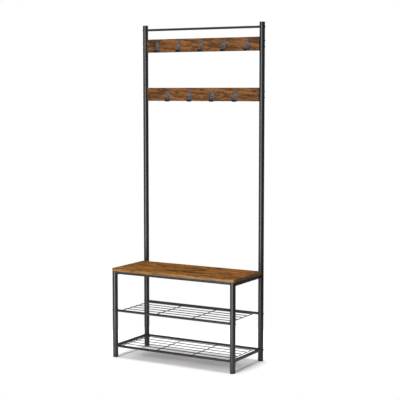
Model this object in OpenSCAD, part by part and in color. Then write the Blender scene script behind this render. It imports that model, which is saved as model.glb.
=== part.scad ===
// Hall tree: a bench with two wire shoe shelves and two rows of coat hooks.
// Origin: centre of the footprint, on the floor. +X right, +Y to the back, +Z up.

/* [Overall] */
// Height from the floor to the top of the post caps
total_h = 1750; // [1700:10:1850]
// Distance between the left and right tube axes
axis_w = 704; // [690:2:760]
// Distance between the front leg axes and the back post axes
axis_d = 305; // [290:1:340]

/* [Tube frame] */
// Outside diameter of the legs and posts
tube_d = 28; // [26:0.5:30]
// Wall thickness of every tube
tube_wall = 1.2; // [1:0.1:1.4]
// Height of the seam between the lower and upper posts
seam_z = 1135; // [1100:5:1200]
// Length of the sleeve inside each post seam
coupler_len = 120; // [80:5:160]
// Outside diameter of the top rod
top_rod_d = 12; // [12:0.5:14]
// Distance from the post cap down to the top rod's axis
top_rod_drop = 25; // [22:1:40]
// Outside diameter of the bottom side tubes
side_tube_d = 17; // [15:0.5:18]

/* [Bench] */
// Height of the bench board's top face
bench_top = 474.5; // [440:0.5:500]
// Thickness of the bench board
bench_t = 16; // [15:0.5:18]
// Radius of the bench board's upright corners
bench_r = 12; // [6:1:20]
// Width of the rails under the bench board
rail_w = 13; // [12:0.5:15]
// Height of the front and back bench rails
cross_rail_h = 13; // [12:0.5:18]
// Height of the side bench rails
side_rail_h = 20; // [16:0.5:25]

/* [Wire shelves] */
// Height of the bottom shelf's rods
bottom_shelf_z = 60; // [45:1:90]
// Height of the middle shelf's rods
mid_shelf_z = 250; // [200:1:300]
// Outside diameter of the shelf rods
rod_d = 13; // [13:0.5:15]
// Diameter of the shelf wires
wire_d = 4; // [3:0.5:5]
// Number of long wires in a shelf
long_wires = 5; // [3:1:7]
// Number of cross wires in a shelf
cross_wires = 4; // [2:1:6]
// Distance between the two end cross wires
wire_span = 640; // [600:5:650]

/* [Hook boards] */
// Height of a hook board
board_h = 70; // [66:1:90]
// Thickness of a hook board
board_t = 16; // [15:0.5:18]
// Height of the upper hook board's middle
upper_board_z = 1640; // [1600:5:1660]
// Height of the lower hook board's middle
lower_board_z = 1382.5; // [1340:0.5:1420]
// Distance between neighbouring hooks
hook_pitch = 135; // [110:5:140]

/* [Hooks] */
// Width of the hook strip
hook_w = 18; // [16:1:22]
// Thickness of the hook strip
hook_t = 3; // [2.5:0.5:3.5]
// Height of a hook
hook_h = 58; // [50:1:64]
// Distance from the middle of the upper board down to the bottom of its hooks
upper_hook_drop = 35; // [32:1:40]
// Distance from the middle of the lower board down to the bottom of its hooks
lower_hook_drop = 38; // [32:1:40]
// Angle of the hook's lip above level
lip_angle = 60; // [45:5:80]

/* [Feet] */
// Diameter of a foot pad
pad_d = 28; // [24:1:32]
// Thickness of a foot pad
pad_t = 5; // [4:0.5:6]
// Gap between a foot pad and the leg plug above it
foot_gap = 2; // [2:0.5:6]
// Diameter of a foot's threaded stud
stud_d = 8; // [6:1:8]

/* [Hidden] */

$fn = 64;

// Places of the tube axes
ax = axis_w / 2;
ay = axis_d / 2;
tube_r = tube_d / 2;
tube_bore = tube_d - 2 * tube_wall;

// Clearances
weld_gap = 0.05;   // between a coped end and the tube that it is welded or bolted to
fit_gap = 0.05;    // radial gap of a plug, sleeve or insert in its bore
stud_gap = 0.08;   // radial gap of a foot stud in its plug
wire_sink = 0.3;   // how far a long wire is pressed into the cross wires
cut = 1;           // how far a cutting tool runs past the face that it cuts

// Ends of the legs and posts
plug_flange_t = 2;
plug_len = 16;
pad_edge_r = 1.5;
pad_floor = 1.5;       // thickness of a pad under its stud
stud_past_plug = 4.5;  // how far a stud reaches past the top of its plug
leg_bottom = pad_t + foot_gap + plug_flange_t;
bench_under = bench_top - bench_t;
cap_t = 3;
cap_plug_len = 12;
cap_edge_r = 1.2;
cap_plug_wall = 2.5;
top_rod_z = total_h - top_rod_drop;

// Bolts with domed heads, which run along X through a leg into a rod or a board
bolt_d = 6;
bolt_hole_d = 6.4;
bolt_head_d = 11;
rod_bolt_head_h = 3.5;
board_bolt_head_h = 2.6;
hex_key = 4;
insert_len = 14;
insert_inset = 0.5;     // from the tube to the insert's outer end
insert_bore = bolt_d + 0.2;
bolt_reach = tube_d + insert_len - 2;
board_insert_d = 9;
board_bolt_offset = 15;

// Wood screws, with a cross recess in a domed head
hook_screw_d = 3.5;
hook_screw_head_d = 7.5;
hook_screw_len = 13;
frame_screw_d = 4;
frame_screw_head_d = 9;
frame_screw_bite = 10;
screw_head_h = 2.4;
pilot_gap = 0.1;        // what a pilot hole is wider than its screw
pilot_past = 0.5;       // what a pilot hole is deeper than its screw's end
rail_hole_gap = 0.4;    // what a rail's hole is wider than its screw
hook_hole_gap = 0.7;    // what a hook's hole is wider than its screw

// Bench
bench_post_gap = 0.2;
back_rail_inset = 0.3;
board_front = -ay - tube_r;
board_back = ay - tube_r - bench_post_gap;
bench_half_w = ax + tube_r;
back_rail_y = board_back - rail_w / 2 - back_rail_inset;
front_screw_x = 290;
side_screw_y = 80;

// Hook boards and hooks
board_end_gap = 0.3;
board_edge_r = 1;
board_end = ax - tube_r - board_end_gap;
board_face = ay - board_t / 2;
upper_hook_x = [for (i = [-2:2]) i * hook_pitch];
lower_hook_x = [for (i = [-1.5:1.5]) i * hook_pitch];
hook_bend = 8;         // inner radius of the bend under the plate
hook_flat = 5;         // level stretch between the two bends
hook_lip_bend = 10.5;  // inner radius of the bend before the lip
hook_lip = 6;          // straight length of the lip
hook_lip_r = 5;        // corner radius of the lip's free edge
hook_screw_z = [27, hook_h - hook_w / 2];
hook_pilot_len = hook_screw_len - hook_t + pilot_past;

coat = [0.13, 0.13, 0.14];
steel = [0.62, 0.62, 0.60];
hook_grey = [0.32, 0.36, 0.41];
plastic = [0.06, 0.06, 0.06];
oak = [0.58, 0.36, 0.18];
walnut = [0.48, 0.29, 0.16];

// ---- shared shapes ----

// A rectangle with true round corners
module rounded_rectangle(size, r) {
    square([size.x - 2 * r, size.y], center = true);
    square([size.x, size.y - 2 * r], center = true);
    for (sx = [-1, 1], sy = [-1, 1])
        translate([sx * (size.x / 2 - r), sy * (size.y / 2 - r)]) circle(r);
}

// A round disc whose top edge is rounded
module soft_disc(d, t, edge) {
    cylinder(d = d, h = t - edge);
    cylinder(d = d - 2 * edge, h = t);
    translate([0, 0, t - edge]) rotate_extrude() intersection() {
        translate([d / 2 - edge, 0]) circle(edge);
        square([d, edge]);
    }
}

// A domed head that stands on the plane z = 0, with the same dome for every height
module domed_head(d, h) {
    dome_r = (d * d / 4 + h * h) / (2 * h);
    intersection() {
        cylinder(d = d, h = h);
        translate([0, 0, h - dome_r]) sphere(dome_r);
    }
}

// A hex-socket bolt along -Z, with the underside of its head at z = 0
module socket_bolt(length, head_h) {
    difference() {
        domed_head(bolt_head_d, head_h);
        translate([0, 0, head_h / 3]) cylinder(d = hex_key / cos(30), h = head_h, $fn = 6);
    }
    translate([0, 0, -length]) cylinder(d = bolt_d, h = length);
}

// A cross-recess screw along -Z, with the underside of its head at z = 0
module cross_screw(d, head_d, length) {
    difference() {
        domed_head(head_d, screw_head_h);
        for (turn = [0, 90])
            rotate([0, 0, turn]) translate([0, 0, screw_head_h])
                cube([head_d * 0.55, head_d * 0.14, screw_head_h], center = true);
    }
    translate([0, 0, -length]) cylinder(d = d, h = length);
}

// The outer cylinders of the four upright tubes, with a gap, for coping what meets them
module upright_tubes(gap) {
    for (sx = [-1, 1], sy = [-1, 1])
        translate([sx * ax, sy * ay, -cut]) cylinder(r = tube_r + gap, h = total_h);
}

// An upright tube with bolt holes along X at the given heights
module upright(sx, sy, z0, z1, hole_heights) {
    color(coat) translate([sx * ax, sy * ay, 0]) difference() {
        translate([0, 0, z0]) cylinder(d = tube_d, h = z1 - z0);
        translate([0, 0, z0 - cut]) cylinder(d = tube_bore, h = z1 - z0 + 2 * cut);
        for (z = hole_heights)
            translate([0, 0, z]) rotate([0, 90, 0])
                cylinder(d = bolt_hole_d, h = tube_d + 2 * cut, center = true);
    }
}

// A round tube along X between two uprights at depth y and height z, coped to both
module cross_rod(d, y, z) {
    color(coat) difference() {
        translate([-ax, y, z]) rotate([0, 90, 0]) cylinder(d = d, h = axis_w);
        translate([-ax - cut, y, z]) rotate([0, 90, 0])
            cylinder(d = d - 2 * tube_wall, h = axis_w + 2 * cut);
        upright_tubes(weld_gap);
    }
}

// A ring with its bore along X
module x_ring(d, bore, length) {
    rotate([0, 90, 0]) difference() {
        cylinder(d = d, h = length, center = true);
        cylinder(d = bore, h = length + 2 * cut, center = true);
    }
}

// ---- legs and posts ----

module front_leg(sx) {
    upright(sx, -1, leg_bottom, bench_under, [bottom_shelf_z, mid_shelf_z]);
}

module lower_post(sx) {
    upright(sx, 1, leg_bottom, seam_z, [bottom_shelf_z, mid_shelf_z]);
}

module upper_post(sx) {
    board_holes = [for (z = [upper_board_z, lower_board_z], s = [-1, 1]) z + s * board_bolt_offset];
    upright(sx, 1, seam_z, total_h - cap_t, concat(board_holes, [top_rod_z]));
}

module post_coupler(sx) {
    color(steel) translate([sx * ax, ay, seam_z - coupler_len / 2]) difference() {
        cylinder(d = tube_bore - 2 * fit_gap, h = coupler_len);
        translate([0, 0, -cut])
            cylinder(d = tube_bore - 2 * tube_wall - 2 * fit_gap, h = coupler_len + 2 * cut);
    }
}

module post_cap(sx) {
    color(plastic) translate([sx * ax, ay, total_h - cap_t]) {
        soft_disc(tube_d, cap_t, cap_edge_r);
        translate([0, 0, -cap_plug_len]) difference() {
            cylinder(d = tube_bore - 2 * fit_gap, h = cap_plug_len);
            translate([0, 0, -cut]) cylinder(d = tube_bore - 2 * cap_plug_wall, h = cap_plug_len);
        }
    }
}

// ---- bench ----

module side_rail(sx) {
    color(coat) difference() {
        translate([sx * ax, 0, bench_under - side_rail_h / 2])
            cube([rail_w, axis_d, side_rail_h], center = true);
        translate([sx * ax, 0, bench_under - side_rail_h / 2])
            cube([rail_w - 2 * tube_wall, axis_d + cut, side_rail_h - 2 * tube_wall], center = true);
        upright_tubes(weld_gap);
        frame_screw_holes();
    }
}

// A bench rail along X, at depth y, between the faces x = -reach and x = reach
module bench_rail(y, reach) {
    color(coat) difference() {
        translate([0, y, bench_under - cross_rail_h / 2])
            cube([2 * reach, rail_w, cross_rail_h], center = true);
        translate([0, y, bench_under - cross_rail_h / 2])
            cube([2 * reach + cut, rail_w - 2 * tube_wall, cross_rail_h - 2 * tube_wall], center = true);
        upright_tubes(weld_gap);
        frame_screw_holes();
    }
}

module bottom_side_tube(sx) {
    color(coat) difference() {
        translate([sx * ax, -ay, bottom_shelf_z]) rotate([-90, 0, 0])
            cylinder(d = side_tube_d, h = axis_d);
        translate([sx * ax, -ay - cut, bottom_shelf_z]) rotate([-90, 0, 0])
            cylinder(d = side_tube_d - 2 * tube_wall, h = axis_d + 2 * cut);
        upright_tubes(weld_gap);
    }
}

// Places of the screws that hold the board to the rails
function rail_screw_places() = [for (sx = [-1, 1], y = [-ay, back_rail_y]) [sx * front_screw_x, y]];
function side_screw_places() = [for (sx = [-1, 1], sy = [-1, 1]) [sx * ax, sy * side_screw_y]];

module frame_screw_holes() {
    for (p = concat(rail_screw_places(), side_screw_places()))
        translate([p.x, p.y, bench_under - side_rail_h - cut])
            cylinder(d = frame_screw_d + rail_hole_gap, h = side_rail_h + cut);
}

module bench_board() {
    color(oak) difference() {
        translate([0, (board_front + board_back) / 2, bench_under]) linear_extrude(bench_t)
            rounded_rectangle([2 * bench_half_w, board_back - board_front], bench_r);
        for (p = concat(rail_screw_places(), side_screw_places()))
            translate([p.x, p.y, bench_under - cut])
                cylinder(d = frame_screw_d + pilot_gap, h = frame_screw_bite + cut + pilot_past);
    }
}

module frame_screws(places, rail_h) {
    color(coat) for (p = places)
        translate([p.x, p.y, bench_under - rail_h]) rotate([180, 0, 0])
            cross_screw(frame_screw_d, frame_screw_head_d, rail_h + frame_screw_bite);
}

// ---- wire shelves ----

module wire_shelf(z) {
    color(coat) {
        difference() {
            for (i = [0:cross_wires - 1])
                translate([-wire_span / 2 + i * wire_span / (cross_wires - 1), -ay, z])
                    rotate([-90, 0, 0]) cylinder(d = wire_d, h = axis_d);
            for (sy = [-1, 1])
                translate([-ax, sy * ay, z]) rotate([0, 90, 0])
                    cylinder(d = rod_d + 2 * weld_gap, h = axis_w);
        }
        for (i = [1:long_wires])
            translate([0, -ay + i * axis_d / (long_wires + 1), z + wire_d - wire_sink])
                rotate([0, 90, 0]) cylinder(d = wire_d, h = wire_span + wire_d, center = true);
    }
}

// Ring inserts in the ends of a rod or rods, for the bolts
module end_inserts(d, places) {
    color(steel) for (p = places, sx = [-1, 1])
        translate([sx * (ax - tube_r - insert_len / 2 - insert_inset), p.x, p.y])
            x_ring(d, insert_bore, insert_len);
}

module end_bolts(places, head_h) {
    color(coat) for (p = places, sx = [-1, 1])
        translate([sx * (ax + tube_r), p.x, p.y]) rotate([0, sx * 90, 0])
            socket_bolt(bolt_reach, head_h);
}

// Places, as [y, z], of the bolts along X
function shelf_rod_places() = [for (sy = [-1, 1], z = [bottom_shelf_z, mid_shelf_z]) [sy * ay, z]];
function board_bolt_places() =
    [for (z = [upper_board_z, lower_board_z], s = [-1, 1]) [ay, z + s * board_bolt_offset]];

// ---- hook boards and hooks ----

module hook_board(z, hook_x, drop) {
    color(walnut) difference() {
        translate([-board_end, ay, z]) rotate([90, 0, 90]) linear_extrude(2 * board_end)
            rounded_rectangle([board_t, board_h], board_edge_r);
        for (sx = [-1, 1], s = [-1, 1])
            translate([sx * board_end, ay, z + s * board_bolt_offset]) rotate([0, 90, 0])
                cylinder(d = board_insert_d + 2 * fit_gap, h = 2 * (insert_len + 2), center = true);
        for (x = hook_x, v = hook_screw_z)
            translate([x, board_face, z - drop + v]) rotate([90, 0, 0])
                cylinder(d = hook_screw_d + pilot_gap, h = 2 * hook_pilot_len, center = true);
    }
}

// The inside of a band of the given inner radius and thickness, between two angles
module band(inner_r, t, a0, a1) {
    intersection() {
        difference() {
            circle(inner_r + t);
            circle(inner_r);
        }
        polygon(concat([[0, 0]], [for (i = [0:4]) let(a = a0 + i * (a1 - a0) / 4)
            2 * (inner_r + t) * [cos(a), sin(a)]]));
    }
}

// Where the lip's straight end starts, as [distance in front of the board, height]
hook_lip_mid = hook_lip_bend + hook_t / 2;
hook_lip_start = [hook_t + hook_bend + hook_flat + hook_lip_mid * sin(lip_angle),
                  hook_t + hook_lip_bend - hook_lip_mid * cos(lip_angle)];

// The side view of a hook: its back on 0, its bottom on 0, its lip to the right
module hook_profile() {
    first_bend = hook_t + hook_bend;
    second_bend = hook_t + hook_lip_bend;
    translate([0, first_bend]) square([hook_t, hook_h - first_bend]);
    translate([first_bend, first_bend]) band(hook_bend, hook_t, 180, 270);
    translate([first_bend, 0]) square([hook_flat, hook_t]);
    translate([first_bend + hook_flat, second_bend]) band(hook_lip_bend, hook_t, 270, 270 + lip_angle);
    translate(hook_lip_start) rotate(lip_angle) translate([0, -hook_t / 2]) square([hook_lip, hook_t]);
}

// What rounds one corner off: a square with a quarter circle left out of it, its corner at the origin
module corner_cutter(r, past) {
    difference() {
        translate([-r, -r]) square(r + past);
        translate([-r, -r]) circle(r);
    }
}

// One hook, bent from flat strip. Its back lies on y = 0, its bottom on z = 0, its lip points to -Y
module hook() {
    round_z = hook_h - hook_w / 2;
    difference() {
        translate([-hook_w / 2, 0, 0]) rotate([90, 0, 90]) linear_extrude(hook_w)
            mirror([1, 0]) hook_profile();
        translate([0, cut, 0]) rotate([90, 0, 0]) linear_extrude(hook_t + 2 * cut) difference() {
            translate([-hook_w / 2 - cut, round_z]) square([hook_w + 2 * cut, hook_w / 2 + cut]);
            translate([0, round_z]) circle(d = hook_w);
        }
        translate([0, -hook_lip_start.x, hook_lip_start.y]) rotate([180 - lip_angle, 0, 0])
            translate([0, 0, -hook_t / 2 - cut]) linear_extrude(hook_t + 2 * cut)
                for (s = [0, 1])
                    mirror([s, 0]) translate([hook_w / 2, hook_lip]) corner_cutter(hook_lip_r, cut);
        for (v = hook_screw_z)
            translate([0, cut, v]) rotate([90, 0, 0])
                cylinder(d = hook_screw_d + hook_hole_gap, h = hook_t + 2 * cut);
    }
}

module upper_hook(i) {
    color(hook_grey) translate([upper_hook_x[i], board_face, upper_board_z - upper_hook_drop]) hook();
}

module lower_hook(i) {
    color(hook_grey) translate([lower_hook_x[i], board_face, lower_board_z - lower_hook_drop]) hook();
}

module hook_screws(z, hook_x, drop) {
    color(coat) for (x = hook_x, v = hook_screw_z)
        translate([x, board_face - hook_t, z - drop + v]) rotate([90, 0, 0])
            cross_screw(hook_screw_d, hook_screw_head_d, hook_screw_len);
}

// ---- feet ----

module leg_plug(sx, sy) {
    color(plastic) translate([sx * ax, sy * ay, leg_bottom - plug_flange_t]) difference() {
        union() {
            cylinder(d = tube_d, h = plug_flange_t);
            cylinder(d = tube_bore - 2 * fit_gap, h = plug_flange_t + plug_len);
        }
        translate([0, 0, -cut]) cylinder(d = stud_d + 2 * stud_gap, h = plug_flange_t + plug_len + 2 * cut);
    }
}

module foot_pad(sx, sy) {
    color(plastic) translate([sx * ax, sy * ay, 0]) difference() {
        soft_disc(pad_d, pad_t, pad_edge_r);
        translate([0, 0, pad_floor]) cylinder(d = stud_d + 2 * fit_gap, h = pad_t);
    }
}

module foot_stud(sx, sy) {
    color(steel) translate([sx * ax, sy * ay, pad_floor])
        cylinder(d = stud_d, h = leg_bottom + plug_len + stud_past_plug - pad_floor);
}

front_leg(-1);  // left_front_leg
front_leg(1);  // right_front_leg
lower_post(-1);  // left_lower_post
lower_post(1);  // right_lower_post
upper_post(-1);  // left_upper_post
upper_post(1);  // right_upper_post
post_coupler(-1);  // left_post_coupler
post_coupler(1);  // right_post_coupler
post_cap(-1);  // left_post_cap
post_cap(1);  // right_post_cap
side_rail(-1);  // left_side_rail
side_rail(1);  // right_side_rail
bottom_side_tube(-1);  // left_bottom_side_tube
bottom_side_tube(1);  // right_bottom_side_tube
bench_rail(-ay, ax);  // front_bench_rail
bench_rail(back_rail_y, ax - rail_w / 2 - weld_gap);  // back_bench_rail
bench_board();
cross_rod(rod_d, -ay, mid_shelf_z);  // middle_shelf_front_rod
cross_rod(rod_d, ay, mid_shelf_z);  // middle_shelf_back_rod
cross_rod(rod_d, -ay, bottom_shelf_z);  // bottom_shelf_front_rod
cross_rod(rod_d, ay, bottom_shelf_z);  // bottom_shelf_back_rod
wire_shelf(mid_shelf_z);  // middle_wire_shelf
wire_shelf(bottom_shelf_z);  // bottom_wire_shelf
cross_rod(top_rod_d, ay, top_rod_z);  // top_rod
hook_board(upper_board_z, upper_hook_x, upper_hook_drop);  // upper_hook_board
hook_board(lower_board_z, lower_hook_x, lower_hook_drop);  // lower_hook_board
upper_hook(0);  // upper_hook_1
upper_hook(1);  // upper_hook_2
upper_hook(2);  // upper_hook_3
upper_hook(3);  // upper_hook_4
upper_hook(4);  // upper_hook_5
lower_hook(0);  // lower_hook_1
lower_hook(1);  // lower_hook_2
lower_hook(2);  // lower_hook_3
lower_hook(3);  // lower_hook_4
hook_screws(upper_board_z, upper_hook_x, upper_hook_drop);  // upper_hook_screws
hook_screws(lower_board_z, lower_hook_x, lower_hook_drop);  // lower_hook_screws
end_bolts(board_bolt_places(), board_bolt_head_h);  // hook_board_bolts
end_inserts(board_insert_d, board_bolt_places());  // hook_board_inserts
end_bolts(shelf_rod_places(), rod_bolt_head_h);  // shelf_rod_bolts
end_inserts(rod_d - 2 * tube_wall - 2 * fit_gap, shelf_rod_places());  // shelf_rod_inserts
end_bolts([[ay, top_rod_z]], rod_bolt_head_h);  // top_rod_bolts
end_inserts(top_rod_d - 2 * tube_wall - 2 * fit_gap, [[ay, top_rod_z]]);  // top_rod_inserts
frame_screws(rail_screw_places(), cross_rail_h);  // bench_rail_screws
frame_screws(side_screw_places(), side_rail_h);  // side_rail_screws
leg_plug(-1, -1);  // front_left_leg_plug
leg_plug(1, -1);  // front_right_leg_plug
leg_plug(-1, 1);  // back_left_leg_plug
leg_plug(1, 1);  // back_right_leg_plug
foot_pad(-1, -1);  // front_left_foot_pad
foot_pad(1, -1);  // front_right_foot_pad
foot_pad(-1, 1);  // back_left_foot_pad
foot_pad(1, 1);  // back_right_foot_pad
foot_stud(-1, -1);  // front_left_foot_stud
foot_stud(1, -1);  // front_right_foot_stud
foot_stud(-1, 1);  // back_left_foot_stud
foot_stud(1, 1);  // back_right_foot_stud
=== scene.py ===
"""Looks of the hall tree: a bench with two wire shoe shelves, tall back posts and two rows of coat hooks.

Everything is in metres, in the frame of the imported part: +X right, +Y to the back, +Z up, floor at 0.
"""

import math

import bmesh
import bpy
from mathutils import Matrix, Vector


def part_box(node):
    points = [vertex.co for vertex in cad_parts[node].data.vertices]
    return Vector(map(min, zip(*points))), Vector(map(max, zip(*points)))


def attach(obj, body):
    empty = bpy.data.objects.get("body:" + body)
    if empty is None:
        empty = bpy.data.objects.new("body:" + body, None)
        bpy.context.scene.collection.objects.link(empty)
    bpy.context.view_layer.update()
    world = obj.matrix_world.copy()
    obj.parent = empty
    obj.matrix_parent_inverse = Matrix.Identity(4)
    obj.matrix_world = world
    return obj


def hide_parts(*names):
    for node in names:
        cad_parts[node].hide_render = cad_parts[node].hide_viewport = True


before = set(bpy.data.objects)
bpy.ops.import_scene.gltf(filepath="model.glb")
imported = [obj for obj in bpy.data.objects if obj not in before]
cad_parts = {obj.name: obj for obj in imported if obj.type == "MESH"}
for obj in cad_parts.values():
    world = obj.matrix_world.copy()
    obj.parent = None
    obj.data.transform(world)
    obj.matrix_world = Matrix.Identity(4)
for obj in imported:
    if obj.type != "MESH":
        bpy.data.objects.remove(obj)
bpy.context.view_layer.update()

MM = 0.001
TUBE_WALL = 1.2 * MM
WELD_GAP = 0.05 * MM
SMOOTH_ANGLE = math.radians(38)
END_LOOP = 1.5 * MM     # distance of the extra loop near a tube's end, which keeps edge wear on the edge
PLUG_FIT = 0.05 * MM    # radial gap of a plug in its tube
TUBE_SIDES = 72
ROD_SIDES = 48
PLUG_SIDES = 64
WIRE_SIDES = 16
HEX_RING_POINTS = 36


# ---- mesh helpers ----

def loft(bm, rings, caps=(True, True), loop=False):
    """Joins rings of equal length with quads. Caps close the two ends; loop joins the last to the first."""
    rows = [[bm.verts.new(p) for p in ring] for ring in rings]
    pairs = list(zip(rows, rows[1:]))
    if loop:
        pairs.append((rows[-1], rows[0]))
    for low, high in pairs:
        for i in range(len(low)):
            k = (i + 1) % len(low)
            bm.faces.new((low[i], low[k], high[k], high[i]))
    if not loop and caps[0]:
        bm.faces.new(rows[0][::-1])
    if not loop and caps[1]:
        bm.faces.new(rows[-1])


def ring_points(centre, radius, count, axis="Z"):
    """Points of a circle round a point, in the plane across the given axis."""
    points = []
    for i in range(count):
        turn = 2 * math.pi * i / count
        a = radius * math.cos(turn)
        b = radius * math.sin(turn)
        offset = {"X": (0, a, b), "Y": (b, 0, a), "Z": (a, b, 0)}[axis]
        points.append(Vector(centre) + Vector(offset))
    return points


def lathe(bm, centre, profile, count, axis="Z", direction=1, loop=False):
    """Turns a profile of (radius, distance along the axis) pairs."""
    step = Vector({"X": (1, 0, 0), "Y": (0, 1, 0), "Z": (0, 0, 1)}[axis]) * direction
    rings = [ring_points(Vector(centre) + step * z, r, count, axis) for r, z in profile]
    loft(bm, rings, loop=loop)


def rounded_rectangle(width, height, radius, steps):
    """Outline of a rectangle with round corners, as (x, y) pairs round its middle."""
    points = []
    for cx, cy, start in ((1, 1, 0), (-1, 1, 90), (-1, -1, 180), (1, -1, 270)):
        for i in range(steps + 1):
            turn = math.radians(start + 90 * i / steps)
            points.append((cx * (width / 2 - radius) + radius * math.cos(turn),
                           cy * (height / 2 - radius) + radius * math.sin(turn)))
    return points


def piece(name, bm, materials, nodes, body="root", smooth=SMOOTH_ANGLE):
    """Makes a shaded object from a bmesh, that rides on a body and stands for CAD nodes."""
    bmesh.ops.remove_doubles(bm, verts=bm.verts, dist=1e-7)
    bmesh.ops.recalc_face_normals(bm, faces=bm.faces)
    mesh = bpy.data.meshes.new(name)
    bm.to_mesh(mesh)
    bm.free()
    mesh.shade_smooth()
    mesh.set_sharp_from_angle(angle=smooth)
    obj = bpy.data.objects.new(name, mesh)
    bpy.context.scene.collection.objects.link(obj)
    for material in materials:
        mesh.materials.append(material)
    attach(obj, body)
    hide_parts(*nodes)


def centre_of(node):
    """Middle of a CAD node's box."""
    low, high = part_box(node)
    return (low + high) / 2


# ---- material helpers ----

class Graph:
    """Short names for building a node material round one Principled shader."""

    def __init__(self, name):
        self.material = bpy.data.materials.new(name)
        self.material.use_nodes = True
        self.tree = self.material.node_tree
        self.shader = self.tree.nodes["Principled BSDF"]
        self.place = self.node("ShaderNodeTexCoord").outputs["Object"]

    def node(self, kind, **settings):
        """Adds a shader node with the given settings."""
        made = self.tree.nodes.new(kind)
        for key, value in settings.items():
            setattr(made, key, value)
        return made

    def put(self, socket, value):
        """Links an output to a socket, or sets the socket to a plain value."""
        if isinstance(value, bpy.types.NodeSocket):
            self.tree.links.new(value, socket)
        else:
            socket.default_value = value

    def stretch(self, scale, offset=(0, 0, 0)):
        """The object's coordinates, scaled by axis and shifted."""
        mapping = self.node("ShaderNodeMapping")
        self.put(mapping.inputs["Vector"], self.place)
        mapping.inputs["Scale"].default_value = scale
        mapping.inputs["Location"].default_value = offset
        return mapping.outputs["Vector"]

    def noise(self, vector, scale, detail, rough=0.55, warp=0):
        """Fractal noise from 0 to 1."""
        made = self.node("ShaderNodeTexNoise")
        self.put(made.inputs["Vector"], vector)
        made.inputs["Scale"].default_value = scale
        made.inputs["Detail"].default_value = detail
        made.inputs["Roughness"].default_value = rough
        made.inputs["Distortion"].default_value = warp
        return made.outputs["Fac"]

    def ramp(self, value, stops):
        """A colour ramp of (place, colour) stops, where a colour may be one grey number."""
        made = self.node("ShaderNodeValToRGB")
        self.put(made.inputs["Fac"], value)
        bar = made.color_ramp
        while len(bar.elements) < len(stops):
            bar.elements.new(0.5)
        for element, (at, colour) in zip(bar.elements, stops):
            element.position = at
            element.color = (colour,) * 3 + (1,) if isinstance(colour, (int, float)) else (*colour, 1)
        return made.outputs["Color"]

    def math(self, operation, a, b):
        """A math node on two values or outputs."""
        made = self.node("ShaderNodeMath", operation=operation)
        self.put(made.inputs[0], a)
        self.put(made.inputs[1], b)
        return made.outputs["Value"]

    def mix(self, share, a, b):
        """A colour that goes from a to b as share goes from 0 to 1."""
        made = self.node("ShaderNodeMix", data_type="RGBA")
        self.put(made.inputs["Factor"], share)
        self.put(made.inputs[6], a if isinstance(a, bpy.types.NodeSocket) else (*a, 1))
        self.put(made.inputs[7], b if isinstance(b, bpy.types.NodeSocket) else (*b, 1))
        return made.outputs[2]

    def bump(self, height, distance, strength, under=None):
        """A bumped normal, laid over another one if under is given."""
        made = self.node("ShaderNodeBump")
        self.put(made.inputs["Height"], height)
        made.inputs["Distance"].default_value = distance
        made.inputs["Strength"].default_value = strength
        if under is not None:
            self.put(made.inputs["Normal"], under)
        return made.outputs["Normal"]

    def finish(self, colour, rough, normal, metallic=0.0, specular=0.5):
        """Wires up the shader and gives the finished material."""
        self.put(self.shader.inputs["Base Color"], colour)
        self.put(self.shader.inputs["Roughness"], rough)
        self.put(self.shader.inputs["Normal"], normal)
        self.shader.inputs["Metallic"].default_value = metallic
        self.shader.inputs["Specular IOR Level"].default_value = specular
        return self.material


def worn_edges(g):
    """1 on sharp outer edges, broken up by noise, and 0 elsewhere."""
    edge = g.node("ShaderNodeNewGeometry").outputs["Pointiness"]
    sharp = g.ramp(edge, [(0.56, 0), (0.66, 1)])
    broken = g.ramp(g.noise(g.place, 160, 3), [(0.48, 0), (0.66, 1)])
    return g.math("MULTIPLY", sharp, broken)


def powder_coat():
    """Black satin powder coat: fine orange peel, faint cloudiness, light rub marks on edges."""
    g = Graph("black_powder_coat")
    cloud = g.noise(g.place, 6, 3)
    base = g.ramp(cloud, [(0.3, (0.0075, 0.0080, 0.0090)), (0.7, (0.0115, 0.0120, 0.0135))])
    speck = g.ramp(g.noise(g.place, 1400, 2), [(0.56, 0), (0.72, 1)])
    base = g.mix(g.math("MULTIPLY", speck, 0.2), base, (0.035, 0.035, 0.037))
    base = g.mix(g.math("MULTIPLY", worn_edges(g), 0.22), base, (0.07, 0.07, 0.07))
    peel = g.noise(g.place, 620, 3, 0.5)
    ripple = g.noise(g.place, 130, 2)
    rough = g.ramp(g.noise(g.place, 25, 3), [(0.3, 0.38), (0.7, 0.41)])
    normal = g.bump(ripple, 0.000006, 0.5)
    normal = g.bump(peel, 0.000005, 0.8, normal)
    return g.finish(base, rough, normal, specular=0.40)


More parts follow.
